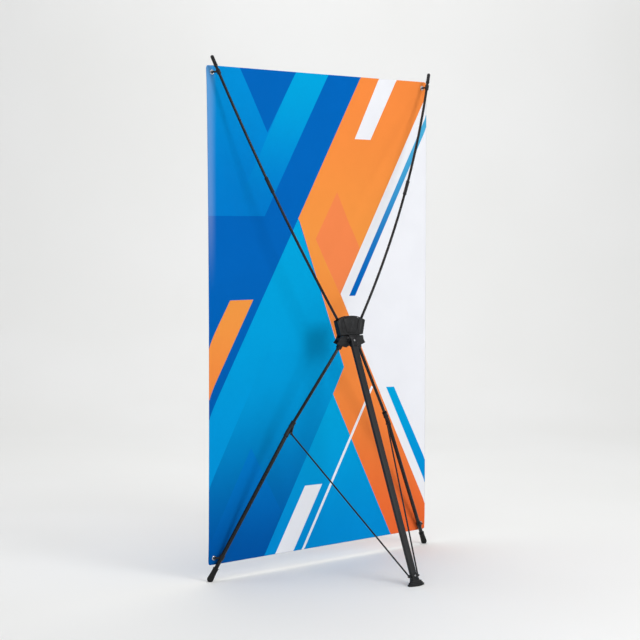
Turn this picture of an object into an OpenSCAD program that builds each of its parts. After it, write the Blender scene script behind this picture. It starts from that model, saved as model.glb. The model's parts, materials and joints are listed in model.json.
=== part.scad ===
// Banner stand with an X-shaped frame. A hub carries two bowed arms, two front legs and a rear leg.
// The sheet hangs by four grommets on pegs at the ends of the arms and the front legs.
// Two struts tie the rear leg's foot to runners that slide on the front legs when the stand folds.
// +X is left as seen from behind, where the rear leg is. The origin is under the middle, on the floor.

/* [Banner] */
// Width of the sheet
banner_w = 1200; // [1180:2:1210]
// Height of the sheet
banner_h = 2000; // [1980:2:2010]
// Height of the sheet's lower edge above the floor
banner_lift = 65; // [64:1:70]
// Thickness of the sheet
sheet_t = 1; // [0.6:0.2:1.4]
// Distance from each edge of the sheet to the middle of a grommet
grommet_inset = 28; // [25:1:32]

/* [Front legs] */
// Half the distance between the tips of the front feet
foot_half = 598; // [590:1:604]
// Distance of the hub behind the front feet
hub_back = 174; // [170:1:178]
// Height of the front legs' pivots
leg_pivot_z = 966; // [962:1:970]
// Length of the upper rod, from its pivot to the joint sleeve
leg_rod_l = 447; // [440:1:455]
// Bend at the joint sleeve, in degrees
leg_kink = 4.5; // [4:0.1:5]
// Diameter of the upper rod
leg_rod_d = 13; // [12:0.5:13]
// Diameter of the lower tube
leg_tube_d = 16.5; // [16:0.5:17]

/* [Arms] */
// Angle of an arm from upright where it leaves the hub
arm_splay = 33.2; // [32:0.2:34]
// Forward lean of the arms where they leave the hub
arm_lean = 3.2; // [3:0.2:4]
// Height of the arms' pivots
arm_pivot_z = 994; // [992:1:996]
// Length of an arm along its curve, from pivot to tip
arm_l = 1250; // [1240:2:1256]
// Radius of the curve that the pull of the sheet gives an arm
arm_bend_r = 4650; // [4500:50:4900]
// Turn of the curve's plane about the arm, so that it bows backwards as well as outwards
arm_roll = 32; // [28:1:36]
// Diameter of the arm's rods
arm_d = 11; // [10:0.5:11]

/* [Rear leg] */
// Angle of the rear leg from upright
rear_splay = 21.95; // [21.7:0.05:22.2]
// Width of the rear leg's flat tube
rear_w = 30; // [28:1:30]
// Depth of the rear leg's flat tube
rear_d = 15; // [14:0.5:16]
// Width of the rear foot's plate
foot_plate_w = 82; // [76:2:86]

/* [Struts] */
// Diameter of a strut's rod
strut_d = 6.5; // [5.5:0.5:7]
// Compass direction of the strut's pin on the left runner, in degrees from +X towards +Y
strut_pin_turn = 42.5; // [41:0.5:44]
// Rise of that pin above level, in degrees
strut_pin_rise = 35.8; // [35:0.2:37]

/* [Hidden] */
$fn = 48;
eps = 0.01;

// Clearances
pin_fit = 0.06;
slide_fit = 0.1;
side_gap = 0.5;

// Front legs, worked out from where the feet and the pivots are
leg_pivot_x = 30;
leg_tilt = atan2(hub_back, leg_pivot_z);
leg_plane_l = norm([hub_back, leg_pivot_z]);
leg_chord_l = norm([foot_half - leg_pivot_x, leg_plane_l]);
leg_tube_l = -leg_rod_l * cos(leg_kink) + sqrt(leg_chord_l ^ 2 - (leg_rod_l * sin(leg_kink)) ^ 2);
leg_splay = atan2(foot_half - leg_pivot_x, leg_plane_l) + asin(leg_tube_l * sin(leg_kink) / leg_chord_l);
leg_lower_splay = leg_splay - leg_kink;

// Arms
arm_pivot_x = 32;
function arc_angle(s) = s / arm_bend_r * 180 / PI;
arm_ferrule_s = 692;
ferrule_l = 66;
tip_cap_l = 46;

// Hub
knuckle_r = 9;
knuckle_t = 16;
skin_t = 4;
cavity_half = knuckle_t / 2 + side_gap;
hub_pin_r = 4;
rear_pivot = [0, hub_back + 14, 969];
rear_knuckle_r = 11;
rear_cheek_w = 31;
collar_w = rear_w + 5;
panel_screw_z = [10, 44];
skirt_screw_x = 62;
skirt_screw_z = -4;
screw_r = 1.5;
screw_l = 18;
screw_head_r = 3.4;

// Banner
grommet_bore_r = 5;
grommet_r = 10.5;
grommet_lip_t = 1.2;
peg_r = 3;
peg_head_r = 4.4;
peg_reach = 12;
peg_root_y = 8;
peg_root_r = 5;
grommet_x = banner_w / 2 - grommet_inset;
grommet_z = [banner_lift + grommet_inset, banner_lift + banner_h - grommet_inset];

// Rear foot
sole_t = 3;
plate_t = 4;
block_h = 13;
foot_plate_d = 34;
foot_bulge = 12;
rear_foot_y = rear_pivot[1] + rear_pivot[2] * tan(rear_splay);
rear_l = rear_pivot[2] / cos(rear_splay);

// The whole object is moved so that its origin is under the middle of its depth
rear_edge_y = rear_foot_y + foot_plate_d / 2;
middle_y = (rear_edge_y - peg_reach) / 2;

// Struts
runner_l = 26;
sleeve_l = 44;
sleeve_r = 9.6;
strut_pivot_s = leg_rod_l + 6;
strut_pivot_in = 14;
strut_pivot_back = 10;
knob_r = 5.5;
lug_t = 4;
lug_r = 5.5;
rivet_r = 2;
rivet_head_r = 4;
rivet_head_t = 1.6;
knob_flat = 4.7;
bracket_t = 3;
bracket_side_t = 2.4;
anchor_gap = 1.1;
anchor_s = rear_l - 38;
anchor_x = rear_w / 2 + bracket_side_t + anchor_gap + knob_flat;

function turn_x(v, a) = [v[0], v[1] * cos(a) - v[2] * sin(a), v[1] * sin(a) + v[2] * cos(a)];
function turn_y(v, a) = [v[0] * cos(a) + v[2] * sin(a), v[1], v[2] * cos(a) - v[0] * sin(a)];
function turn_z(v, a) = [v[0] * cos(a) - v[1] * sin(a), v[0] * sin(a) + v[1] * cos(a), v[2]];
// Points given along a front leg or an arm, as places in the stand
function leg_point(v) = [leg_pivot_x, hub_back, leg_pivot_z] + turn_x(turn_y(v, -leg_splay), -leg_tilt);
function arm_local(s) = [-arm_bend_r * (1 - cos(arc_angle(s))), 0, arm_bend_r * sin(arc_angle(s))];
function arm_point(s) =
    [arm_pivot_x, hub_back, arm_pivot_z]
    + turn_x(turn_y(turn_z(arm_local(s), arm_roll), arm_splay), arm_lean);
function length_on_arm(z, s = arm_l) = arm_point(s)[2] <= z ? s : length_on_arm(z, s - 1);
function lower_leg_point(d) =
    leg_point([0, 0, -leg_rod_l]) + turn_x(turn_y([0, 0, -d], -leg_lower_splay), -leg_tilt);

strut_pivot = leg_point([-strut_pivot_in, strut_pivot_back, -strut_pivot_s]);
strut_anchor = [
    anchor_x,
    rear_pivot[1] + anchor_s * sin(rear_splay),
    rear_pivot[2] - anchor_s * cos(rear_splay)
];
strut_pin = turn_z(turn_y([1, 0, 0], -strut_pin_rise), strut_pin_turn);

// Frames. Each puts its children where the part of the stand is.
module stand() {
    translate([0, -middle_y, 0]) children();
}
module side(s) {
    if (s > 0) children();
    else mirror([1, 0, 0]) children();
}
module upper_hub() {
    stand() translate([0, hub_back, arm_pivot_z]) rotate([arm_lean, 0, 0]) children();
}
module lower_hub() {
    stand() translate([0, hub_back, leg_pivot_z]) rotate([-leg_tilt, 0, 0]) children();
}
module on_leg(s) {
    stand() side(s) translate([leg_pivot_x, hub_back, leg_pivot_z])
        rotate([-leg_tilt, 0, 0]) rotate([0, -leg_splay, 0]) children();
}
module on_lower_leg(s) {
    on_leg(s) translate([0, 0, -leg_rod_l]) rotate([0, leg_kink, 0]) children();
}
module on_arm(s) {
    stand() side(s) translate([arm_pivot_x, hub_back, arm_pivot_z])
        rotate([arm_lean, 0, 0]) rotate([0, arm_splay, 0]) rotate([0, 0, arm_roll]) children();
}
module at_arm(s, along) {
    on_arm(s) translate(arm_local(along)) rotate([0, -arc_angle(along), 0]) children();
}
module on_rear_leg() {
    stand() translate(rear_pivot) rotate([rear_splay, 0, 0]) children();
}

// Shared shapes
module along_y(t) {
    rotate([90, 0, 0]) translate([0, 0, -t / 2]) linear_extrude(t) children();
}
module pin_y(r, l) {
    rotate([90, 0, 0]) cylinder(r = r, h = l, center = true);
}
module rod_arc(d, from, to) {
    rotate([90, 0, 0]) translate([-arm_bend_r, 0, 0]) rotate([0, 0, arc_angle(from)])
        rotate_extrude(angle = arc_angle(to - from), $fn = 96) translate([arm_bend_r, 0]) circle(d = d);
}
module point_at(from, to) {
    v = to - from;
    translate(from) rotate([0, acos(v[2] / norm(v)), atan2(v[1], v[0])]) children();
}
module pan_head(r, t) {
    difference() {
        intersection() {
            cylinder(r = r, h = t);
            translate([0, 0, t - 2.2 * r]) sphere(r = 2.2 * r);
        }
        translate([0, 0, t - 0.8]) for (a = [0, 90]) rotate([0, 0, a]) translate([-r * 0.6, -0.5, 0])
            cube([r * 1.2, 1, 1]);
    }
}

groove_w = 1.6;
// Hub outlines, in the plane of the arms and in that of the front legs
hub_top_r = 150;
hub_top_z = 64;
hub_low_r = 170;
hub_low_z = -38;
hub_web_z = 980;
module upper_outline() {
    intersection() {
        polygon([[-60, hub_web_z - arm_pivot_z - 3], [60, hub_web_z - arm_pivot_z - 3], [76, 47], [66, 70],
            [-66, 70], [-76, 47]]);
        translate([0, hub_top_z - hub_top_r]) circle(r = hub_top_r, $fn = 180);
    }
}
module panel_outline(grow = 0) {
    intersection() {
        polygon([[-26 - grow, -4 - grow], [26 + grow, -4 - grow], [46 + grow, 70], [-46 - grow, 70]]);
        translate([0, hub_top_z - hub_top_r]) circle(r = hub_top_r - 5 + grow, $fn = 180);
    }
}
module lower_outline() {
    intersection() {
        polygon([[-60, hub_web_z - leg_pivot_z - 2], [60, hub_web_z - leg_pivot_z - 2], [68, -8], [79, -20],
            [79, -40], [-79, -40], [-79, -20], [-68, -8]]);
        translate([0, hub_low_z + hub_low_r]) circle(r = hub_low_r, $fn = 180);
    }
}

// Places of the screws that hold the panel to the post and the skirt to its own two posts
module at_panel_screws() {
    upper_hub() for (z = panel_screw_z) translate([0, 0, z]) children();
}
module at_skirt_screws() {
    lower_hub() for (s = [-1, 1]) translate([s * skirt_screw_x, 0, skirt_screw_z]) children();
}

// Front half of the hub: the front wall, the middle post, the cross web and the screw posts
module hub_front() {
    color([0.13, 0.13, 0.14]) difference() {
        union() {
            upper_hub() translate([0, -cavity_half - skin_t / 2, 0]) along_y(skin_t) upper_outline();
            lower_hub() translate([0, -cavity_half - skin_t / 2, 0]) along_y(skin_t) lower_outline();
            upper_hub() along_y(cavity_half * 2) intersection() {
                polygon([[-12, -12], [12, -12], [21, 70], [-21, 70]]);
                translate([0, hub_top_z - hub_top_r]) circle(r = hub_top_r, $fn = 180);
            }
            upper_hub() for (s = [-1, 1]) along_y(cavity_half * 2) polygon(
                [[s * 56.5, -14], [s * 59.5, -14], [s * 75.2, 44], [s * 72.2, 44]]);
            stand() translate([-59, hub_back - cavity_half - 3, hub_web_z - 1.5])
                cube([118, 2 * cavity_half + 2, 3]);
            at_skirt_screws() pin_y(6, cavity_half * 2);
        }
        upper_hub() for (s = [-1, 1]) translate([s * arm_pivot_x, -cavity_half, 0]) pin_y(hub_pin_r, 5);
        lower_hub() for (s = [-1, 1]) translate([s * leg_pivot_x, -cavity_half, 0]) pin_y(hub_pin_r, 5);
        at_panel_screws() translate([0, cavity_half, 0]) pin_y(screw_r, screw_l);
        at_skirt_screws() translate([0, cavity_half, 0]) pin_y(screw_r, screw_l);
    }
}

// Rear wall over the arms, open in the middle for the panel
module hub_rear() {
    color([0.15, 0.15, 0.16]) difference() {
        union() {
            upper_hub() translate([0, cavity_half + skin_t / 2, 0]) along_y(skin_t) difference() {
                upper_outline();
                panel_outline(groove_w);
            }
            upper_hub() for (s = [-1, 1]) translate([0, cavity_half + skin_t + 0.4, 0])
                along_y(0.8 + 2 * eps) polygon([[s * 34, -10], [s * 54, -10], [s * 70, 45], [s * 54, 49]]);
        }
        upper_hub() for (s = [-1, 1]) translate([s * arm_pivot_x, cavity_half, 0]) pin_y(hub_pin_r, 4);
        stand() translate([-100, hub_back, hub_web_z - 20]) cube([200, 40, 20 + side_gap]);
    }
}

// Panel in the middle of the rear wall, screwed to the post
module hub_panel() {
    color([0.17, 0.17, 0.18]) difference() {
        union() {
            upper_hub() translate([0, cavity_half + skin_t / 2 + 0.25, 0])
                along_y(skin_t + 0.4) panel_outline();
            upper_hub() translate([0, cavity_half + skin_t + 0.9, 30]) along_y(1)
                polygon([[-24, -26], [24, -26], [38, 22], [-38, 22]]);
        }
        at_panel_screws() translate([0, cavity_half, 0]) pin_y(screw_r, screw_l);
        at_panel_screws() translate([0, cavity_half + skin_t + 1, 0]) pin_y(screw_head_r + 0.2, 3);
    }
}

// Rear walls over the front legs, one each side of the rear leg, with the ears that hold its pin
ear_in = rear_cheek_w / 2 + side_gap;
ear_t = 7;
rear_pin_head_r = 5;
module ear_outline() {
    translate([rear_pivot[1], rear_pivot[2]]) circle(r = 11.5);
    polygon([[hub_back + cavity_half, hub_web_z - side_gap], [rear_pivot[1] + 3, rear_pivot[2] + 11],
        [rear_pivot[1] + 9, rear_pivot[2] - 7], [hub_back + 16, leg_pivot_z - 16],
        [hub_back + 4, leg_pivot_z - 16]]);
}
module hub_skirt() {
    color([0.14, 0.14, 0.15]) difference() {
        union() {
            difference() {
                lower_hub() translate([0, cavity_half + skin_t / 2, 0]) along_y(skin_t) lower_outline();
                stand() translate([-ear_in, hub_back, leg_pivot_z - 60]) cube([2 * ear_in, 60, 80]);
            }
            difference() {
                stand() for (s = [-1, 1]) translate([s * (ear_in + ear_t / 2), 0, 0]) rotate([90, 0, 90])
                    translate([0, 0, -ear_t / 2]) linear_extrude(ear_t) ear_outline();
                lower_hub() translate([-50, -50, -60]) cube([100, 50 + cavity_half + skin_t / 2, 100]);
            }
        }
        stand() translate([-100, hub_back, hub_web_z - side_gap / 2]) cube([200, 13, 20]);
        stand() translate(rear_pivot) rotate([0, 90, 0])
            cylinder(r = hub_pin_r, h = 2 * (ear_in + ear_t) + 1, center = true);
        // Room for the wider collar of the rear knuckle as it swings
        stand() translate(rear_pivot) rotate([0, 90, 0]) difference() {
            cylinder(r = 80, h = collar_w + 2 * side_gap, center = true);
            cylinder(r = rear_tube_from - side_gap, h = 2 * collar_w, center = true);
        }
        stand() for (a = [0, 180]) translate(rear_pivot) rotate([a, 90, 0])
            translate([0, 0, ear_in + ear_t]) cylinder(r = rear_pin_head_r + 0.5, h = 4);
        lower_hub() for (s = [-1, 1]) translate([s * leg_pivot_x, cavity_half, 0]) pin_y(hub_pin_r, 4);
        at_skirt_screws() translate([0, cavity_half, 0]) pin_y(screw_r, screw_l);
        at_skirt_screws() translate([0, cavity_half + skin_t, 0]) pin_y(screw_head_r + 0.2, 3);
    }
}

module arm_pins() {
    color("silver") upper_hub() for (s = [-1, 1]) translate([s * arm_pivot_x, 0, 0])
        pin_y(hub_pin_r, 2 * cavity_half + 4);
}
module leg_pins() {
    color("silver") lower_hub() for (s = [-1, 1]) translate([s * leg_pivot_x, 0, 0])
        pin_y(hub_pin_r, 2 * cavity_half + 4);
}
module rear_pin() {
    color("silver") stand() translate(rear_pivot) rotate([0, 90, 0]) {
        cylinder(r = hub_pin_r, h = 2 * (ear_in + ear_t), center = true);
        for (a = [0, 180]) rotate([a, 0, 0]) translate([0, 0, ear_in + ear_t])
            pan_head(rear_pin_head_r, 2.6);
    }
}
module hub_screw(seat) {
    rotate([-90, 0, 0]) {
        translate([0, 0, seat]) pan_head(screw_head_r, 2);
        translate([0, 0, seat - screw_l / 2]) cylinder(r = screw_r, h = screw_l / 2 + eps);
    }
}
module hub_screws() {
    color("silver") {
        at_panel_screws() hub_screw(cavity_half + skin_t - 0.5);
        at_skirt_screws() hub_screw(cavity_half + skin_t - 1.5);
    }
}

// Arms
knuckle_l = 50;
knuckle_nose_l = 6;
module knuckle(rod_r, rod_from) {
    difference() {
        union() {
            pin_y(knuckle_r, knuckle_t);
            translate([-knuckle_r, -knuckle_t / 2, 0]) cube([2 * knuckle_r, knuckle_t, knuckle_l]);
            translate([0, 0, knuckle_l - eps])
                cylinder(r1 = knuckle_t / 2, r2 = rod_r + 1.2, h = knuckle_nose_l);
            for (z = [18, 26, 34, 42]) translate([-knuckle_r - 0.4, -knuckle_t / 2 + 2, z])
                cube([2 * knuckle_r + 0.8, knuckle_t - 4, 3]);
        }
        pin_y(hub_pin_r + pin_fit, knuckle_t + 1);
        translate([0, 0, rod_from]) cylinder(r = rod_r, h = knuckle_l);
    }
}
module arm_knuckle(s) {
    color([0.1, 0.1, 0.11]) on_arm(s) rotate([0, 0, -arm_roll]) knuckle(arm_d / 2, 16);
}
// The end of each rod that sits in a knuckle is straight, and the rest is curved
arm_straight_l = 60;
module arm_lower(s) {
    color([0.05, 0.05, 0.05]) {
        on_arm(s) translate([0, 0, 16]) cylinder(d = arm_d, h = arm_straight_l - 16);
        on_arm(s) rod_arc(arm_d, arm_straight_l, arm_ferrule_s);
    }
}
module arm_upper(s) {
    color([0.05, 0.05, 0.05]) on_arm(s) rod_arc(arm_d, arm_ferrule_s, arm_l - tip_cap_l / 2);
}
module ferrule(s) {
    color([0.1, 0.1, 0.1]) at_arm(s, arm_ferrule_s) difference() {
        union() {
            cylinder(r = arm_d / 2 + 1.8, h = ferrule_l, center = true);
            for (z = [-1, 1]) translate([0, 0, z * (ferrule_l / 2 - 4)])
                cylinder(r = arm_d / 2 + 2.5, h = 5, center = true);
        }
        cylinder(r = arm_d / 2 + 0.15, h = ferrule_l + 1, center = true);
    }
}
module tip_cap(s) {
    color([0.08, 0.08, 0.08]) at_arm(s, arm_l - tip_cap_l) rotate_extrude() difference() {
        union() {
            square([arm_d / 2 + 1.6, tip_cap_l - 5]);
            translate([0, 4]) square([arm_d / 2 + 2.4, 4]);
            translate([0, tip_cap_l - 5]) intersection() {
                circle(r = arm_d / 2 + 1.6);
                square(20);
            }
        }
        translate([-eps, -1]) square([arm_d / 2 + 0.1, tip_cap_l / 2 + 1]);
    }
}

// Hooks: a clip round the rod or tube, a neck, and a forward peg with a head that passes the grommet
clip_l = 20;
clip_wall = 2.6;
module peg(at) {
    translate(at) rotate([90, 0, 0]) {
        translate([0, 0, -peg_root_y]) cylinder(r = peg_r, h = peg_root_y + peg_reach - 2);
        translate([0, 0, peg_reach - 6]) cylinder(r = peg_head_r, h = 4.5);
        translate([0, 0, peg_reach - 1.5 - eps])
            cylinder(r1 = peg_head_r, r2 = peg_head_r - 1.5, h = 1.5 + eps);
        translate([0, 0, -peg_root_y])
            cylinder(r = peg_head_r, h = peg_root_y - sheet_t / 2 - grommet_lip_t - side_gap);
    }
}
module strip(from, to, r) {
    point_at(from, to) cylinder(r = r, h = norm(to - from));
}
module top_hook(s) {
    along = length_on_arm(grommet_z[1]);
    hub_of_clip = arm_point(along);
    peg_root = [grommet_x, peg_root_y, grommet_z[1]];
    color([0.08, 0.08, 0.08]) difference() {
        union() {
            at_arm(s, along) cylinder(r = arm_d / 2 + clip_wall, h = clip_l, center = true);
            stand() side(s) {
                strip(hub_of_clip, peg_root, 4);
                translate(peg_root) sphere(r = peg_root_r);
                peg([grommet_x, 0, grommet_z[1]]);
            }
        }
        at_arm(s, along) cylinder(r = arm_d / 2 + 0.05, h = clip_l + 20, center = true);
    }
}
bottom_hook_s = leg_tube_l - (grommet_z[0] + 2) / cos(leg_tilt) / cos(leg_lower_splay);
module bottom_hook(s) {
    hub_of_clip = lower_leg_point(bottom_hook_s);
    peg_root = [grommet_x, peg_root_y, grommet_z[0]];
    color([0.08, 0.08, 0.08]) difference() {
        union() {
            on_lower_leg(s) translate([0, 0, -bottom_hook_s])
                cylinder(r = leg_tube_d / 2 + clip_wall, h = clip_l, center = true);
            stand() side(s) {
                strip(hub_of_clip, peg_root, 4);
                translate(peg_root) sphere(r = peg_root_r);
                peg([grommet_x, 0, grommet_z[0]]);
            }
        }
        on_lower_leg(s) translate([0, 0, -bottom_hook_s])
            cylinder(r = leg_tube_d / 2, h = clip_l + 30, center = true);
    }
}

// Front legs
module leg_knuckle(s) {
    color([0.1, 0.1, 0.11]) on_leg(s) rotate([0, 180, 0]) knuckle(leg_rod_d / 2, 16);
}
module leg_rod(s) {
    color([0.05, 0.05, 0.05]) on_leg(s) translate([0, 0, -leg_rod_l])
        cylinder(d = leg_rod_d, h = leg_rod_l - 16);
}
module joint_sleeve(s) {
    color([0.09, 0.09, 0.09]) difference() {
        union() {
            on_leg(s) translate([0, 0, -leg_rod_l - 2]) cylinder(r = sleeve_r - 0.6, h = sleeve_l / 2 - 4);
            on_lower_leg(s) translate([0, 0, -sleeve_l / 2 - 4]) cylinder(r = sleeve_r, h = sleeve_l / 2 + 7);
            on_lower_leg(s) translate([0, 0, -sleeve_l / 2 - 4]) cylinder(r = sleeve_r + 0.8, h = 5);
        }
        on_leg(s) translate([0, 0, -leg_rod_l]) cylinder(d = leg_rod_d, h = sleeve_l);
        on_lower_leg(s) translate([0, 0, -sleeve_l]) cylinder(d = leg_tube_d, h = sleeve_l - 2);
    }
}
front_foot_l = 62;
front_foot_r = 13;
front_foot_wrap = 40;
module leg_tube(s) {
    color([0.05, 0.05, 0.05]) on_lower_leg(s) translate([0, 0, -leg_tube_l + front_foot_l - front_foot_wrap])
        difference() {
            cylinder(d = leg_tube_d, h = leg_tube_l - front_foot_l + front_foot_wrap - 2);
            translate([0, 0, -1]) cylinder(d = leg_tube_d - 3, h = leg_tube_l);
        }
}
// Rubber foot: a bulb at the floor that narrows to a cuff round the tube
module front_foot(s) {
    color([0.07, 0.07, 0.07]) difference() {
        on_lower_leg(s) translate([0, 0, -leg_tube_l]) rotate_extrude() difference() {
            union() {
                intersection() {
                    translate([0, 12]) circle(r = front_foot_r);
                    translate([0, -2]) square([30, 26]);
                }
                polygon([[0, 10], [front_foot_r, 12], [11.2, 40], [10.6, front_foot_l], [0, front_foot_l]]);
                translate([0, front_foot_l - 5]) square([11.8, 5]);
            }
            translate([-eps, front_foot_l - front_foot_wrap])
                square([leg_tube_d / 2 + eps, front_foot_wrap + 1]);
        }
        stand() side(s) translate([foot_half - 60, -60, -40]) cube([120, 120, 40]);
    }
}

// Runners and struts. The strut's ball-shaped end turns on a rivet in the runner's lug.
runner_top_s = leg_rod_l - (sleeve_l / 2 - 6) - 0.3;
module on_strut_pin(s) {
    stand() side(s) translate(strut_pivot) rotate([0, 90 - strut_pin_rise, strut_pin_turn]) children();
}
module runner(s) {
    neck_from = leg_point([-6, 4.5, -runner_top_s + 8]);
    neck_to = strut_pivot + strut_pin * (knob_r + side_gap + lug_t / 2 - 0.8);
    color([0.08, 0.08, 0.09]) difference() {
        union() {
            on_leg(s) translate([0, 0, -runner_top_s]) cylinder(r = leg_rod_d / 2 + 3.4, h = runner_l);
            on_leg(s) for (z = [0, runner_l - 4]) translate([0, 0, -runner_top_s + z])
                cylinder(r = leg_rod_d / 2 + 4.4, h = 4);
            stand() side(s) strip(neck_from, neck_to, 4);
            on_strut_pin(s) translate([0, 0, knob_r + side_gap - 0.8]) cylinder(r = lug_r, h = lug_t);
        }
        on_leg(s) translate([0, 0, -runner_top_s - 30])
            cylinder(r = leg_rod_d / 2 + slide_fit, h = runner_l + 60);
        on_strut_pin(s) translate([0, 0, -2]) cylinder(r = rivet_r, h = 30);
        on_strut_pin(s) translate([0, 0, -10]) cylinder(r = lug_r + 3, h = 10 + knob_r + side_gap - 0.8);
        on_strut_pin(s) translate([0, 0, knob_r + side_gap - 0.8 + lug_t]) cylinder(r = lug_r, h = 10);
        on_leg(s) translate([0, 0, -leg_rod_l - sleeve_l])
            cylinder(r = sleeve_r + side_gap, h = leg_rod_l + sleeve_l - runner_top_s);
    }
}
module strut_rivet(s) {
    color("silver") on_strut_pin(s) {
        translate([0, 0, -knob_flat - rivet_head_t - pin_fit])
            cylinder(r = rivet_head_r - 1, h = rivet_head_t);
        translate([0, 0, -knob_r]) cylinder(r = rivet_r, h = 2 * knob_r + lug_t + side_gap);
        translate([0, 0, knob_r + side_gap - 0.8 + lug_t]) cylinder(r = rivet_head_r - 1, h = rivet_head_t);
    }
}
// A ball end, flat where it meets its lug and its rivet's head
module knob() {
    intersection() {
        sphere(r = knob_r);
        cylinder(r = knob_r + 1, h = 2 * knob_flat, center = true);
    }
}
module strut(s) {
    color([0.06, 0.06, 0.06]) difference() {
        union() {
            stand() side(s) strip(strut_pivot, strut_anchor, strut_d / 2);
            on_strut_pin(s) knob();
            stand() side(s) translate(strut_anchor) rotate([0, 90, 0]) knob();
        }
        on_strut_pin(s) cylinder(r = rivet_r + pin_fit, h = 40, center = true);
        stand() side(s) translate(strut_anchor) rotate([0, 90, 0])
            cylinder(r = rivet_r, h = 40, center = true);
    }
}
// Headed on the outer side only, and flush with the strut's inner face, so that nothing crosses the gap
module strut_end_rivet(s) {
    color("silver") stand() side(s) translate(strut_anchor) rotate([0, 90, 0]) {
        translate([0, 0, -knob_flat]) cylinder(r = rivet_r, h = 2 * knob_flat + eps);
        translate([0, 0, knob_flat]) cylinder(r = rivet_head_r - 0.5, h = rivet_head_t);
    }
}

// Rear leg
rear_wall = 1.5;
rear_round = 4;
rear_tube_from = 24;
rear_tube_to = rear_l - 14;
module flat_oval(w, d, r) {
    union() {
        square([w - 2 * r, d], center = true);
        square([w, d - 2 * r], center = true);
        for (x = [-1, 1], y = [-1, 1]) translate([x * (w / 2 - r), y * (d / 2 - r)]) circle(r = r);
    }
}
module rear_knuckle() {
    color([0.11, 0.11, 0.12]) on_rear_leg() difference() {
        union() {
            rotate([0, 90, 0]) cylinder(r = rear_knuckle_r, h = rear_cheek_w, center = true);
            translate([-rear_cheek_w / 2, -rear_d / 2 - 3, -rear_tube_from])
                cube([rear_cheek_w, rear_d + 6, rear_tube_from]);
            translate([0, 0, -rear_tube_from - 14]) linear_extrude(14 + eps)
                flat_oval(collar_w, rear_d + 5, rear_round + 2);
            translate([0, 0, -rear_tube_from - 50]) linear_extrude(50)
                flat_oval(rear_w - 2 * rear_wall, rear_d - 2 * rear_wall, rear_round - rear_wall);
        }
        rotate([0, 90, 0]) cylinder(r = hub_pin_r + pin_fit, h = 60, center = true);
        translate([0, 0, -rear_tube_from - 14 - eps]) linear_extrude(14 + eps) difference() {
            flat_oval(rear_w, rear_d, rear_round);
            flat_oval(rear_w - 2 * rear_wall, rear_d - 2 * rear_wall, rear_round - rear_wall);
        }
        translate([0, rear_d / 2 + 4, -16]) rotate([90, 0, 0]) cylinder(r = 2, h = 10);
    }
}
module rear_tube() {
    color([0.07, 0.07, 0.07]) on_rear_leg() translate([0, 0, -rear_tube_to])
        linear_extrude(rear_tube_to - rear_tube_from) difference() {
            flat_oval(rear_w, rear_d, rear_round);
            flat_oval(rear_w - 2 * rear_wall, rear_d - 2 * rear_wall, rear_round - rear_wall);
        }
}
module rear_clamp_screws() {
    color("silver") {
        on_rear_leg() translate([0, rear_d / 2 + 3, -16]) rotate([-90, 0, 0]) {
            pan_head(4.6, 2.4);
            translate([0, 0, -8]) cylinder(r = 2, h = 8 + eps);
        }
        on_rear_leg() translate([0, rear_d / 2 + bracket_t, -anchor_s]) rotate([-90, 0, 0])
            pan_head(screw_head_r, 1.8);
    }
}
// Bracket wrapped round the tube's back, with a boss on each side for a strut's end
bracket_l = 16;
module strut_bracket() {
    color([0.1, 0.1, 0.1]) on_rear_leg() difference() {
        translate([0, 0, -anchor_s - bracket_l / 2]) linear_extrude(bracket_l) difference() {
            flat_oval(rear_w + 2 * bracket_side_t, rear_d + 2 * bracket_t, rear_round + bracket_t);
            flat_oval(rear_w, rear_d, rear_round);
        }
        translate([0, rear_d / 2 + bracket_t, -anchor_s]) rotate([90, 0, 0])
            cylinder(r = 1.2, h = 20, center = true);
    }
}
// Shoe: a block on a wide plate, with a slanted socket for the tube
module plate_outline(w, d, bulge) {
    round_r = ((w / 2) ^ 2 + bulge ^ 2) / (2 * bulge);
    intersection() {
        translate([-w / 2, -d / 2]) square([w, d]);
        translate([0, d / 2 - round_r]) circle(r = round_r, $fn = 180);
        translate([0, round_r - d / 2]) circle(r = round_r, $fn = 180);
    }
}
module rear_shoe() {
    color([0.1, 0.1, 0.1]) difference() {
        union() {
            stand() translate([0, rear_foot_y, sole_t]) linear_extrude(plate_t)
                plate_outline(foot_plate_w, foot_plate_d, foot_bulge);
            stand() translate([0, rear_foot_y - 1, sole_t + plate_t - eps]) linear_extrude(block_h / 2)
                plate_outline(foot_plate_w - 16, foot_plate_d - 6, foot_bulge - 4);
            stand() translate([0, rear_foot_y - 2, sole_t + plate_t - eps]) linear_extrude(block_h)
                plate_outline(foot_plate_w - 30, foot_plate_d - 10, foot_bulge - 7);
            intersection() {
                on_rear_leg() translate([0, 0, -rear_l - 20]) linear_extrude(49)
                    flat_oval(rear_w + 8, rear_d + 8, rear_round + 3);
                stand() translate([-60, rear_foot_y - 60, sole_t]) cube([120, 120, 60]);
            }
        }
        on_rear_leg() translate([0, 0, -rear_tube_to]) linear_extrude(60)
            flat_oval(rear_w, rear_d, rear_round);
    }
}
module rear_sole() {
    color([0.05, 0.05, 0.05]) stand() difference() {
        translate([0, rear_foot_y, 0]) linear_extrude(sole_t)
            plate_outline(foot_plate_w - 2, foot_plate_d, foot_bulge);
        for (x = [-36:12:36]) translate([x - 1, rear_foot_y - 40, -1]) cube([2, 80, 1.8]);
    }
}

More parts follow.
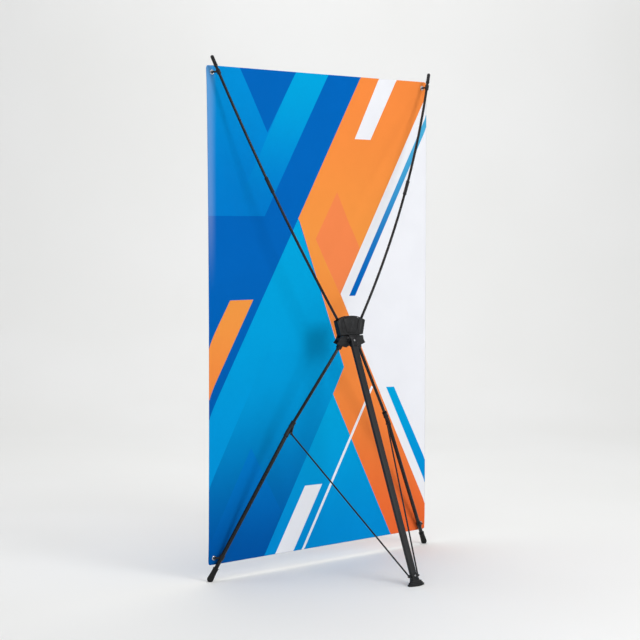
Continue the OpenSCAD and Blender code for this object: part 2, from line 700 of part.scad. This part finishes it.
// Banner: the sheet, with a grommet through each corner
module at_corners() {
    stand() for (x = [-1, 1], z = grommet_z) translate([x * grommet_x, 0, z]) children();
}
module banner_sheet() {
    color([0.05, 0.45, 0.8]) difference() {
        stand() translate([-banner_w / 2, -sheet_t / 2, banner_lift]) cube([banner_w, sheet_t, banner_h]);
        at_corners() pin_y(grommet_bore_r + 1, 20);
    }
}
module grommets() {
    color("silver") at_corners() rotate([90, 0, 0]) {
        difference() {
            union() {
                translate([0, 0, -sheet_t / 2]) cylinder(r = grommet_bore_r + 1, h = sheet_t);
                translate([0, 0, sheet_t / 2]) cylinder(r = grommet_r, h = grommet_lip_t / 2);
                translate([0, 0, sheet_t / 2]) cylinder(r = grommet_r - 2, h = grommet_lip_t);
            }
            cylinder(r = grommet_bore_r, h = 20, center = true);
        }
    }
}
module grommet_washers() {
    color("silver") at_corners() rotate([-90, 0, 0]) translate([0, 0, sheet_t / 2]) difference() {
        union() {
            cylinder(r = grommet_r, h = grommet_lip_t / 2);
            cylinder(r = grommet_r - 2, h = grommet_lip_t);
        }
        cylinder(r = grommet_bore_r, h = 20, center = true);
    }
}

hub_front();
hub_rear();
hub_panel();
hub_skirt();
arm_pins();
leg_pins();
rear_pin();
hub_screws();
arm_knuckle(1);  // arm_knuckle_left
arm_knuckle(-1);  // arm_knuckle_right
arm_lower(1);  // arm_lower_left
arm_lower(-1);  // arm_lower_right
ferrule(1);  // ferrule_left
ferrule(-1);  // ferrule_right
arm_upper(1);  // arm_upper_left
arm_upper(-1);  // arm_upper_right
tip_cap(1);  // tip_cap_left
tip_cap(-1);  // tip_cap_right
top_hook(1);  // top_hook_left
top_hook(-1);  // top_hook_right
leg_knuckle(1);  // leg_knuckle_left
leg_knuckle(-1);  // leg_knuckle_right
leg_rod(1);  // leg_rod_left
leg_rod(-1);  // leg_rod_right
joint_sleeve(1);  // joint_sleeve_left
joint_sleeve(-1);  // joint_sleeve_right
leg_tube(1);  // leg_tube_left
leg_tube(-1);  // leg_tube_right
front_foot(1);  // front_foot_left
front_foot(-1);  // front_foot_right
bottom_hook(1);  // bottom_hook_left
bottom_hook(-1);  // bottom_hook_right
runner(1);  // runner_left
runner(-1);  // runner_right
strut_rivet(1);  // strut_rivet_left
strut_rivet(-1);  // strut_rivet_right
strut(1);  // strut_left
strut(-1);  // strut_right
strut_end_rivet(1);  // strut_end_rivet_left
strut_end_rivet(-1);  // strut_end_rivet_right
rear_knuckle();
rear_tube();
rear_clamp_screws();
strut_bracket();
rear_shoe();
rear_sole();
banner_sheet();
grommets();
grommet_washers();
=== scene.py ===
"""Looks of the banner stand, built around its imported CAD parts. Metres, in the CAD's frame.

+X is left as seen from behind, +Y points backwards from the sheet to the rear leg, +Z is up.
"""

import json
import math
import random

import bmesh
import bpy
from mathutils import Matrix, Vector


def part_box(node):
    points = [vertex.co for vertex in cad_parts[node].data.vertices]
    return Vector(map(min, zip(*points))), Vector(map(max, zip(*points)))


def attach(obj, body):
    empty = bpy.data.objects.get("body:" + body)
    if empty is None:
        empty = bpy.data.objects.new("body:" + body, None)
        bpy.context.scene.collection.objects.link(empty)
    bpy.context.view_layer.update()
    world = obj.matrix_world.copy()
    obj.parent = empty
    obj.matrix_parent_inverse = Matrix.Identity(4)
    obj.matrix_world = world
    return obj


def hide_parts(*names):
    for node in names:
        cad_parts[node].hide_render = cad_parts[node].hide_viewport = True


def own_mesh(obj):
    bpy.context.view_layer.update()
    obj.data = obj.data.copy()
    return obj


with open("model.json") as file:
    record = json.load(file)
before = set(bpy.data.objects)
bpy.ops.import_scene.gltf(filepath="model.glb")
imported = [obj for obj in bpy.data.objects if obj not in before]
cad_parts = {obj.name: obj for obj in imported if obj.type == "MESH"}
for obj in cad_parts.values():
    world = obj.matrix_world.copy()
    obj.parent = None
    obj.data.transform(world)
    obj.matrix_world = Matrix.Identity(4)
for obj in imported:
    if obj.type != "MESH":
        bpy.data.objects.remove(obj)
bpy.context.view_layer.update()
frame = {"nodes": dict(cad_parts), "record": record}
nodes = frame["nodes"]


# ---- Shader helpers -------------------------------------------------------------------------

def new_material(name, roughness, metallic=0.0, gloss=0.5):
    """A Principled material. Returns (material, node tree, shader node)."""
    mat = bpy.data.materials.new(name)
    mat.use_nodes = True
    tree = mat.node_tree
    shader = tree.nodes["Principled BSDF"]
    shader.inputs["Roughness"].default_value = roughness
    shader.inputs["Metallic"].default_value = metallic
    shader.inputs["Specular IOR Level"].default_value = gloss
    return mat, tree, shader


def add(tree, kind, **settings):
    node = tree.nodes.new(kind)
    for key, value in settings.items():
        setattr(node, key, value)
    return node


def math_node(tree, operation, *values, clamp=False):
    """A Math node fed with sockets or numbers. Returns its output."""
    node = add(tree, "ShaderNodeMath", operation=operation, use_clamp=clamp)
    for socket, value in zip(node.inputs, values):
        if isinstance(value, (int, float)):
            socket.default_value = value
        else:
            tree.links.new(value, socket)
    return node.outputs[0]


def noise(tree, scale, detail=3.0, stretch=(1, 1, 1), coords="Object"):
    """Noise over the surface, drawn out along the axes where stretch is small."""
    where = add(tree, "ShaderNodeTexCoord")
    mapping = add(tree, "ShaderNodeMapping")
    mapping.inputs["Scale"].default_value = stretch
    tex = add(tree, "ShaderNodeTexNoise")
    tex.inputs["Scale"].default_value = scale
    tex.inputs["Detail"].default_value = detail
    tree.links.new(where.outputs[coords], mapping.inputs["Vector"])
    tree.links.new(mapping.outputs[0], tex.inputs["Vector"])
    return tex.outputs["Fac"]


def ramp(tree, factor, low, high, start=0.35, end=0.65):
    """The factor mapped smoothly from the number low to the number high."""
    node = add(tree, "ShaderNodeMapRange", interpolation_type="SMOOTHSTEP")
    for name, value in (("From Min", start), ("From Max", end), ("To Min", low), ("To Max", high)):
        node.inputs[name].default_value = value
    tree.links.new(factor, node.inputs["Value"])
    return node.outputs["Result"]


def mix(tree, factor, first, second):
    """Mixes two colours; each is a socket or a tuple."""
    node = add(tree, "ShaderNodeMix", data_type="RGBA")
    for socket, value in zip((node.inputs[0], node.inputs[6], node.inputs[7]), (factor, first, second)):
        if isinstance(value, tuple):
            socket.default_value = (*value, 1.0)
        elif isinstance(value, (int, float)):
            socket.default_value = value
        else:
            tree.links.new(value, socket)
    return node.outputs[2]


def bump(tree, shader, height, strength, distance):
    node = add(tree, "ShaderNodeBump")
    node.inputs["Strength"].default_value = strength
    node.inputs["Distance"].default_value = distance
    tree.links.new(height, node.inputs["Height"])
    tree.links.new(node.outputs[0], shader.inputs["Normal"])


def textured(name, colours, roughnesses, grain, relief, stretch=(1, 1, 1), **look):
    """A material whose colour and roughness wander between two values, over a fine grain."""
    mat, tree, shader = new_material(name, roughnesses[0], **look)
    broad = noise(tree, grain / 14, 4.0, stretch)
    fine = noise(tree, grain, 2.0, stretch)
    tree.links.new(mix(tree, ramp(tree, broad, 0.0, 1.0), *colours), shader.inputs["Base Color"])
    tree.links.new(ramp(tree, broad, *roughnesses), shader.inputs["Roughness"])
    bump(tree, shader, fine, 0.35, relief)
    return mat


# ---- Materials of the frame -----------------------------------------------------------------

def frame_materials():
    return {
        "hub_plastic": textured(
            "HubPlastic", ((0.009, 0.009, 0.010), (0.015, 0.016, 0.017)), (0.42, 0.54), 1400, 0.0002,
            gloss=0.28),
        "fitting_plastic": textured(
            "FittingPlastic", ((0.006, 0.006, 0.007), (0.011, 0.011, 0.012)), (0.38, 0.50), 1500, 0.0002,
            gloss=0.28),
        "fibreglass_rod": textured(
            "FibreglassRod", ((0.004, 0.004, 0.0045), (0.008, 0.008, 0.0085)), (0.22, 0.32), 900, 0.00012,
            stretch=(1, 1, 0.06), gloss=0.3),
        "black_tube": textured(
            "BlackTube", ((0.004, 0.004, 0.0045), (0.008, 0.008, 0.0085)), (0.26, 0.36), 1600, 0.00012,
            gloss=0.3),
        "rear_tube_finish": textured(
            "RearTubeFinish", ((0.008, 0.008, 0.0085), (0.013, 0.013, 0.014)), (0.42, 0.54), 1800, 0.00018,
            gloss=0.4),
        "strut_finish": textured(
            "StrutFinish", ((0.004, 0.004, 0.0045), (0.008, 0.008, 0.0085)), (0.42, 0.54), 1800, 0.00012,
            gloss=0.3),
        "black_rubber": textured(
            "BlackRubber", ((0.007, 0.007, 0.007), (0.013, 0.013, 0.013)), (0.70, 0.86), 1100, 0.0003,
            gloss=0.25),
        "black_screw": textured(
            "BlackScrew", ((0.008, 0.008, 0.009), (0.016, 0.016, 0.017)), (0.30, 0.42), 1500, 0.0001,
            gloss=0.5),
        "steel": textured(
            "ScrewSteel", ((0.30, 0.30, 0.31), (0.42, 0.42, 0.43)), (0.30, 0.44), 1200, 0.0001,
            stretch=(1, 1, 0.1), metallic=1.0),
        "grommet_nickel": textured(
            "GrommetNickel", ((0.62, 0.62, 0.64), (0.78, 0.78, 0.80)), (0.18, 0.32), 1500, 0.0001,
            metallic=1.0),
    }


# ---- The printed sheet ----------------------------------------------------------------------

SHEET_LOW, SHEET_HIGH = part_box("banner_sheet")
SHEET_W = SHEET_HIGH.x - SHEET_LOW.x
SHEET_H = SHEET_HIGH.z - SHEET_LOW.z
SHEET_Y = (SHEET_HIGH.y + SHEET_LOW.y) / 2

WHITE = (0.84, 0.85, 0.89)
NAVY = (0.000, 0.088, 0.36)
DEEP_BLUE = (0.000, 0.125, 0.48)
BLUE = (0.000, 0.190, 0.58)
SKY = (0.000, 0.265, 0.66)
AZURE = (0.000, 0.325, 0.69)
CYAN = (0.000, 0.365, 0.71)
PALE_CYAN = (0.070, 0.420, 0.68)
ORANGE = (0.90, 0.250, 0.052)
AMBER = (0.88, 0.310, 0.058)
CORAL = (0.88, 0.235, 0.075)
RUST = (0.84, 0.145, 0.035)

# Flat shapes of the print, back to front: (upper colour, lower colour, corners).
# A corner is (distance left of the middle, height above the floor), seen from behind. The slanted
# edges lean about 30 degrees from upright. Shapes run past the sheet's edge where they are cut by it.
PRINT = [
    (SKY, BLUE, [(0.62, 2.08), (-0.22, 2.08), (0.134, 1.46), (0.62, 1.46)]),
    (DEEP_BLUE, NAVY, [(0.62, 1.47), (0.134, 1.47), (-0.42, 0.05), (0.62, 0.05)]),
    (CYAN, BLUE, [(0.14, 2.08), (-0.04, 2.08), (0.313, 1.47), (0.475, 1.47)]),
    (DEEP_BLUE, DEEP_BLUE, [(-0.04, 2.08), (-0.23, 2.08), (0.134, 1.455), (0.32, 1.455)]),
    (DEEP_BLUE, DEEP_BLUE, [(0.443, 2.08), (0.135, 2.08), (0.295, 1.81)]),
    (CYAN, SKY, [(0.134, 1.46), (-0.42, 0.05), (0.95, 0.05)]),
    (AZURE, NAVY, [(0.30, 0.91), (-0.17, 0.91), (0.326, 0.05), (0.78, 0.05)]),
    (BLUE, NAVY, [(0.383, 0.523), (0.227, 0.244), (0.34, 0.05), (0.65, 0.05)]),
    (AMBER, ORANGE, [(0.487, 1.13), (0.37, 1.13), (0.62, 0.70), (0.62, 0.91)]),
    (CYAN, SKY, [(-0.057, 0.714), (-0.40, 0.05), (0.326, 0.05)]),
    (ORANGE, AMBER, [(-0.22, 2.08), (-0.64, 2.08), (-0.096, 1.136), (0.134, 1.46)]),
    (AMBER, ORANGE, [(0.131, 1.462), (-0.099, 1.138), (-0.26, 0.826), (-0.119, 0.826)]),
    (ORANGE, RUST, [(-0.119, 0.827), (-0.26, 0.827), (-0.67, 0.05), (-0.40, 0.05), (-0.057, 0.714)]),
    (CORAL, CORAL, [(-0.079, 1.573), (-0.206, 1.335), (-0.096, 1.136), (0.04, 1.375)]),
    (WHITE, WHITE, [(-0.324, 2.08), (-0.428, 2.08), (-0.270, 1.80), (-0.177, 1.80)]),
    (PALE_CYAN, DEEP_BLUE, [(-0.62, 1.955), (-0.62, 1.90), (-0.181, 1.13), (-0.147, 1.13)]),
    (WHITE, WHITE, [(0.098, 0.336), (0.004, 0.334), (0.171, 0.05), (0.268, 0.05)]),
    (WHITE, WHITE, [(-0.275, 0.735), (-0.286, 0.729), (0.112, 0.05), (0.126, 0.05)]),
    (CYAN, SKY, [(-0.362, 0.724), (-0.409, 0.722), (-0.62, 0.345), (-0.62, 0.24)]),
]
# Width over which a shape's edge blends, and the spacing of the threads in the weave
EDGE_BLUR = 0.0012
WEAVE_PITCH = 0.0011

# The left edge curls backwards: how wide and how high it is curled, and the strength of a pale highlight
# painted into the print's colour along it, which fades out between these two heights above the floor
CURL_W = 0.05
CURL_LIFT = 0.009
CURL_PAINTED_HIGHLIGHT = 0.13
PAINTED_HIGHLIGHT_FADE = (1.15, 1.55)


def print_place(tree):
    """(x, 1, z) of a point on the sheet in metres, from its UVs, so the print follows the cloth."""
    where = add(tree, "ShaderNodeTexCoord")
    parts = add(tree, "ShaderNodeSeparateXYZ")
    tree.links.new(where.outputs["UV"], parts.inputs[0])
    x = math_node(tree, "MULTIPLY_ADD", parts.outputs[0], SHEET_W, SHEET_LOW.x)
    z = math_node(tree, "MULTIPLY_ADD", parts.outputs[1], SHEET_H, SHEET_LOW.z)
    joined = add(tree, "ShaderNodeCombineXYZ")
    joined.inputs[1].default_value = 1.0
    tree.links.new(x, joined.inputs[0])
    tree.links.new(z, joined.inputs[2])
    return joined.outputs[0], z


def shape_mask(tree, place, corners):
    """1 inside a convex shape and 0 outside: the least distance inside its edges, made a sharp step."""
    centre_x = sum(c[0] for c in corners) / len(corners)
    centre_z = sum(c[1] for c in corners) / len(corners)
    inside = None
    for (x0, z0), (x1, z1) in zip(corners, corners[1:] + corners[:1]):
        nx, nz = z1 - z0, x0 - x1
        length = math.hypot(nx, nz)
        nx, nz = nx / length, nz / length
        offset = -(nx * x0 + nz * z0)
        if nx * centre_x + nz * centre_z + offset < 0:
            nx, nz, offset = -nx, -nz, -offset
        edge = add(tree, "ShaderNodeVectorMath", operation="DOT_PRODUCT")
        edge.inputs[1].default_value = (nx, offset, nz)
        tree.links.new(place, edge.inputs[0])
        distance = edge.outputs["Value"]
        inside = distance if inside is None else math_node(tree, "MINIMUM", inside, distance)
    return math_node(tree, "MULTIPLY_ADD", inside, 1 / EDGE_BLUR, 0.5, clamp=True)


def print_material():
    """Matt printed polyester: print, slight ink mottle, painted highlight at the left edge, fine plain
    weave.
    """
    mat, tree, shader = new_material("PrintedSheet", 0.55, gloss=0.015)
    place, height = print_place(tree)
    colour = WHITE
    for upper, lower, corners in PRINT:
        levels = [c[1] for c in corners]
        blend = ramp(tree, height, 0.0, 1.0, min(levels), max(levels))
        fill = mix(tree, blend, lower, upper) if upper != lower else upper
        colour = mix(tree, shape_mask(tree, place, corners), colour, fill)
    ink = ramp(tree, noise(tree, 9, 3.0, (0.6, 1, 1), "UV"), 0.985, 1.01)
    shade = add(tree, "ShaderNodeMix", data_type="RGBA", blend_type="MULTIPLY")
    shade.inputs[0].default_value = 1.0
    tree.links.new(colour, shade.inputs[6])
    tree.links.new(ink, shade.inputs[7])
    # A pale highlight is painted into the colour along the upper left edge, where the cloth curls back
    parts = add(tree, "ShaderNodeSeparateXYZ")
    tree.links.new(place, parts.inputs[0])
    painted_edge_highlight = ramp(tree, parts.outputs[0], 0.0, CURL_PAINTED_HIGHLIGHT, SHEET_HIGH.x - CURL_W, SHEET_HIGH.x - 0.01)
    painted_edge_highlight = math_node(tree, "MULTIPLY", painted_edge_highlight, ramp(tree, height, 0.0, 1.0, *PAINTED_HIGHLIGHT_FADE))
    tree.links.new(mix(tree, painted_edge_highlight, shade.outputs[2], WHITE), shader.inputs["Base Color"])
    tree.links.new(ramp(tree, noise(tree, 30, 2.0, coords="UV"), 0.50, 0.62), shader.inputs["Roughness"])
    threads = 2 * math.pi / WEAVE_PITCH
    warp = math_node(tree, "SINE", math_node(tree, "MULTIPLY", parts.outputs[0], threads))
    weft = math_node(tree, "SINE", math_node(tree, "MULTIPLY", parts.outputs[2], threads))
    bump(tree, shader, math_node(tree, "MULTIPLY", warp, weft), 0.25, 0.00008)
    return mat


GROMMET_IN = 0.028
GROMMET_X = SHEET_W / 2 - GROMMET_IN
GROMMET_Z = (SHEET_LOW.z + GROMMET_IN, SHEET_HIGH.z - GROMMET_IN)
HOLE_R = 0.008
SHEET_T = 0.0006

# Grid of the cloth: its spacing, the closer spacing round a hole, and how far from a hole that ends
GRID_STEP = 0.02
RING_STEP = 0.01
RING_CLEAR = 0.016

# The cloth settles for this many frames, with its hem held this firmly next to the grommets' 1.0
SETTLE_FRAMES = 45
HEM_HOLD = 0.35

# Soft folds that run down from the top corners: (x where it starts, lean, width, height). They stand
# highest at FOLD_MIDDLE below the grommets, fade over FOLD_REACH and die out near each grommet.
FOLD_MIDDLE = 0.33
FOLD_REACH = 0.30
GROMMET_CALM = 0.10
FOLDS = [
    (0.58, 0.30, 0.030, 0.009),
    (0.40, 0.16, 0.045, 0.004),
    (-0.58, -0.72, 0.034, -0.008),
    (-0.40, -0.50, 0.050, -0.004),
]


def grid_lines(low, high, step, through):
    """Places of grid lines from low to high, close together round each place in through."""
    count = round((high - low) / step)
    plain = [low + (high - low) * i / count for i in range(count + 1)]
    far = [p for p in plain if all(abs(p - t) > RING_CLEAR for t in through) or p in (low, high)]
    near = [t + d for t in through for d in (-RING_STEP, 0.0, RING_STEP)]
    return sorted(far + near)


def fold_lift(x, z):
    """How far the slack cloth stands off its plane: the folds from the corners and the curled edge."""
    lift = 0.0
    for corner_x, lean, width, height in FOLDS:
        down = GROMMET_Z[1] - z
        off = (corner_x - x) - lean * down
        fade = math.exp(-((down - FOLD_MIDDLE) / FOLD_REACH) ** 2)
        lift += height * fade * math.exp(-(off / (width * (0.5 + down))) ** 2)
    held = min(math.hypot(abs(x) - GROMMET_X, z - level) for level in GROMMET_Z)
    edge = max(0.0, 1 - (SHEET_HIGH.x - x) / CURL_W)
    middle = math.sin(math.pi * min(1.0, max(0.0, (z - SHEET_LOW.z) / SHEET_H)))
    return lift * (1 - math.exp(-(held / GROMMET_CALM) ** 2)) + CURL_LIFT * edge ** 2 * middle


def place_on_sheet(x, z):
    """(x, z, on a hole's rim) of a grid point, pushed out to the rim near a hole, or None inside one."""
    for hole_x in (-GROMMET_X, GROMMET_X):
        for hole_z in GROMMET_Z:
            reach = max(abs(x - hole_x), abs(z - hole_z))
            if reach < RING_STEP / 10:
                return None
            if reach < RING_STEP * 1.01:
                away = Vector((x - hole_x, z - hole_z)).normalized() * HOLE_R
                return hole_x + away.x, hole_z + away.y, True
    return x, z, False


def make_cloth():
    """The sheet as a grid with four eight-sided holes under the grommets, and UVs that cover it."""
    random.seed(7)
    xs = grid_lines(SHEET_LOW.x, SHEET_HIGH.x, GRID_STEP, (-GROMMET_X, GROMMET_X))
    zs = grid_lines(SHEET_LOW.z, SHEET_HIGH.z, GRID_STEP, GROMMET_Z)
    work = bmesh.new()
    uv = work.loops.layers.uv.new("UVMap")
    flat = {}
    grid = {}
    pinned, hem = [], []
    for i, x in enumerate(xs):
        for j, z in enumerate(zs):
            place = place_on_sheet(x, z)
            if place is None:
                continue
            px, pz, on_rim = place
            lift = 0.0 if on_rim else random.uniform(-0.0004, 0.0004)
            vert = work.verts.new((px, SHEET_Y + lift, pz))
            grid[i, j] = vert
            flat[vert] = ((px - SHEET_LOW.x) / SHEET_W, (pz - SHEET_LOW.z) / SHEET_H)
            if on_rim:
                pinned.append(vert)
            elif i in (0, len(xs) - 1) or j in (0, len(zs) - 1):
                hem.append(vert)
    for i in range(len(xs) - 1):
        for j in range(len(zs) - 1):
            corners = [grid.get(k) for k in ((i, j), (i + 1, j), (i + 1, j + 1), (i, j + 1))]
            if None in corners:
                continue
            face = work.faces.new(corners)
            face.smooth = True
            for loop in face.loops:
                loop[uv].uv = flat[loop.vert]
    work.verts.index_update()
    held = [[v.index for v in group] for group in (pinned, hem)]
    mesh = bpy.data.meshes.new("BannerCloth")
    work.to_mesh(mesh)
    work.free()
    cloth = bpy.data.objects.new("BannerCloth", mesh)
    bpy.context.scene.collection.objects.link(cloth)
    group = cloth.vertex_groups.new(name="held")
    group.add(held[0], 1.0, "REPLACE")
    group.add(held[1], HEM_HOLD, "REPLACE")
    return cloth


def simulate(cloth):
    """Lets the sheet hang from its four grommets, drawn a little tight, and keeps the result."""
    modifier = cloth.modifiers.new("Cloth", "CLOTH")
    settings = modifier.settings
    settings.quality = 10
    settings.mass = 0.05
    settings.tension_stiffness = 220
    settings.compression_stiffness = 60
    settings.shear_stiffness = 40
    settings.bending_stiffness = 2.0
    settings.air_damping = 4
    settings.vertex_group_mass = "held"
    settings.pin_stiffness = 1.0
    settings.shrink_min = 0.001
    modifier.collision_settings.use_collision = False
    modifier.collision_settings.use_self_collision = False
    scene = bpy.context.scene
    modifier.point_cache.frame_start = 1
    modifier.point_cache.frame_end = SETTLE_FRAMES
    for number in range(1, SETTLE_FRAMES + 1):
        scene.frame_set(number)
    graph = bpy.context.evaluated_depsgraph_get()
    settled = bpy.data.meshes.new_from_object(cloth.evaluated_get(graph))
    cloth.modifiers.clear()
    cloth.data = settled
    for vert in settled.vertices:
        vert.co.y += fold_lift(vert.co.x, vert.co.z)
    scene.frame_set(1)


def lathe(name, profile, centres, turns=40):
    """Rings turned about the Y axis through each centre. The profile is (radius, y) points, closed."""
    work = bmesh.new()
    for centre in centres:
        rings = []
        for t in range(turns):
            a = 2 * math.pi * t / turns
            rings.append([
                work.verts.new((centre[0] + r * math.cos(a), centre[1] + y, centre[2] + r * math.sin(a)))
                for r, y in profile])
        for t in range(turns):
            here, there = rings[t], rings[(t + 1) % turns]
            for k in range(len(profile)):
                after = (k + 1) % len(profile)
                work.faces.new((here[k], here[after], there[after], there[k])).smooth = True
    bmesh.ops.recalc_face_normals(work, faces=work.faces)
    mesh = bpy.data.meshes.new(name)
    work.to_mesh(mesh)
    work.free()
    ring = bpy.data.objects.new(name, mesh)
    bpy.context.scene.collection.objects.link(ring)
    return ring


def rolled_profile(inner, outer, low, high, steps=8):
    """Cross-section of a pressed ring: a domed outer face with rounded rims over a flat inner one."""
    points = []
    for k in range(steps + 1):
        t = k / steps
        points.append((inner + (outer - inner) * t, low + (high - low) * math.sin(math.pi * t) ** 0.5))
    return points + [(outer, low - 0.0001), (inner, low - 0.0001)]


def make_grommets():
    """Domed eyelets on the front face, with their barrel through the cloth, and washers behind."""
    places = [(x, SHEET_Y, z) for x in (-GROMMET_X, GROMMET_X) for z in GROMMET_Z]
    low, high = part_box("grommets")[0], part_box("grommet_washers")[1]
    outer = high.x - GROMMET_X
    bore = 0.005
    barrel = [(bore, 0.0012), (bore + 0.0007, 0.0012), (bore + 0.0007, -0.0004)]
    face = [(r, -y) for r, y in rolled_profile(bore, outer, 0.0004, SHEET_Y - low.y)]
    eyelets = lathe("GrommetRings", face[:-1] + barrel[::-1], places)
    washer = rolled_profile(bore + 0.0009, outer - 0.0004, 0.0004, high.y - SHEET_Y)
    return eyelets, lathe("GrommetWasherRings", washer, places)


# ---- Build ----------------------------------------------------------------------------------

def dress_frame(materials):
    """Gives each CAD node its material, fine rounded edges and smooth curved faces."""
    slots = {part["node"]: part["material_slot"] for part in frame["record"]["subparts"]}
    for name, node in nodes.items():
        if slots[name] not in materials:
            continue
        node.data.materials.clear()
        node.data.materials.append(materials[slots[name]])
        node.data.shade_smooth()
        weld = node.modifiers.new("Weld", "WELD")
        weld.merge_threshold = 0.00001
        bevel = node.modifiers.new("Bevel", "BEVEL")
        bevel.width = 0.0005
        bevel.segments = 2
        bevel.limit_method = "ANGLE"
        bevel.angle_limit = math.radians(40)
        bevel.use_clamp_overlap = True
        split = node.modifiers.new("Split", "EDGE_SPLIT")
        split.split_angle = math.radians(32)


def dress_banner(materials):
    """The settled cloth with its print and rings, which stand for the CAD's plate, eyelets and washers."""
    cloth = make_cloth()
    simulate(cloth)
    cloth.data.materials.clear()
    cloth.data.materials.append(print_material())
    thick = cloth.modifiers.new("Thickness", "SOLIDIFY")
    thick.thickness = SHEET_T
    thick.offset = 0.0
    smooth = cloth.modifiers.new("Smooth", "SUBSURF")
    smooth.levels = smooth.render_levels = 1
    eyelets, washers = make_grommets()
    for ring in (eyelets, washers):
        ring.data.materials.append(materials["grommet_nickel"])
    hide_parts("banner_sheet")
    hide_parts("grommets")
    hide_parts("grommet_washers")
    for piece in (cloth, eyelets, washers):
        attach(piece, "banner")
        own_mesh(piece)


VIEW_TURN = math.radians(140.19)
VIEW_AHEAD = Vector((-math.sin(VIEW_TURN), math.cos(VIEW_TURN), 0))


def make_studio():
    """A pale floor that curves up into a wall behind the stand."""
    mat, tree, shader = new_material("StudioPaper", 0.75)
    shade = ramp(tree, noise(tree, 0.6, 2.0), 0.0, 1.0)
    tree.links.new(mix(tree, shade, (0.80, 0.80, 0.785), (0.82, 0.82, 0.81)), shader.inputs["Base Color"])
    bump(tree, shader, noise(tree, 160, 3.0), 0.06, 0.0006)
    profile = [(-9.0, 0.0)]
    bend_r, wall_y, wall_z = 3.0, 7.0, 12.0
    for k in range(17):
        a = math.pi / 2 * k / 16
        profile.append((wall_y - bend_r + bend_r * math.sin(a), bend_r - bend_r * math.cos(a)))
    profile.append((wall_y, wall_z))
    across = VIEW_AHEAD.cross(Vector((0, 0, 1)))
    verts = []
    for side in (-20, 20):
        verts += [VIEW_AHEAD * y + across * side + Vector((0, 0, z)) for y, z in profile]
    count = len(profile)
    faces = [(k, k + 1, count + k + 1, count + k) for k in range(count - 1)]
    mesh = bpy.data.meshes.new("StudioSweep")
    mesh.from_pydata([tuple(v) for v in verts], [], faces)
    mesh.shade_smooth()
    mesh.materials.append(mat)
    sweep = bpy.data.objects.new("StudioSweep", mesh)
    bpy.context.scene.collection.objects.link(sweep)


def softbox(name, place, target, size, power, colour=(1, 1, 1)):
    data = bpy.data.lights.new(name, "AREA")
    data.shape = "DISK"
    data.size = size
    data.energy = power
    data.color = colour
    lamp = bpy.data.objects.new(name, data)
    lamp.location = place
    lamp.rotation_euler = (Vector(target) - Vector(place)).to_track_quat("-Z", "Y").to_euler()
    bpy.context.scene.collection.objects.link(lamp)


def make_lights():
    softbox("KeyBehind", (-0.9, 4.6, 2.6), (0, 0, 1.0), 2.4, 105)
    softbox("TopFill", (1.5, 1.0, 5.5), (0, 0, 0), 5.0, 76)
    wall = VIEW_AHEAD * 2.5
    softbox("WallWash", (wall.x, wall.y, 6.0), tuple(VIEW_AHEAD * 7 + Vector((0, 0, 0.5))), 5.0, 152)
    softbox("FrontFill", (4.5, -3.5, 3.2), (0, 0, 1.0), 4.0, 65)
    world = bpy.data.worlds.new("StudioWorld")
    world.use_nodes = True
    world.node_tree.nodes["Background"].inputs["Color"].default_value = (0.97, 0.98, 1.0, 1.0)
    world.node_tree.nodes["Background"].inputs["Strength"].default_value = 0.50
    bpy.context.scene.world = world


def make_camera():
    """Behind the stand and to its left, a little above its middle."""
    data = bpy.data.cameras.new("Camera")
    data.sensor_width = 36.0
    data.lens = 87.7
    camera = bpy.data.objects.new("Camera", data)
    camera.location = (4.222, 4.755, 1.438)
    camera.rotation_euler = (math.radians(90 - 3.53), 0.0, VIEW_TURN)
    bpy.context.scene.collection.objects.link(camera)
    bpy.context.scene.camera = camera


materials = frame_materials()
dress_frame(materials)
dress_banner(materials)
make_studio()
make_lights()
make_camera()
bpy.context.scene.view_settings.view_transform = "Standard"
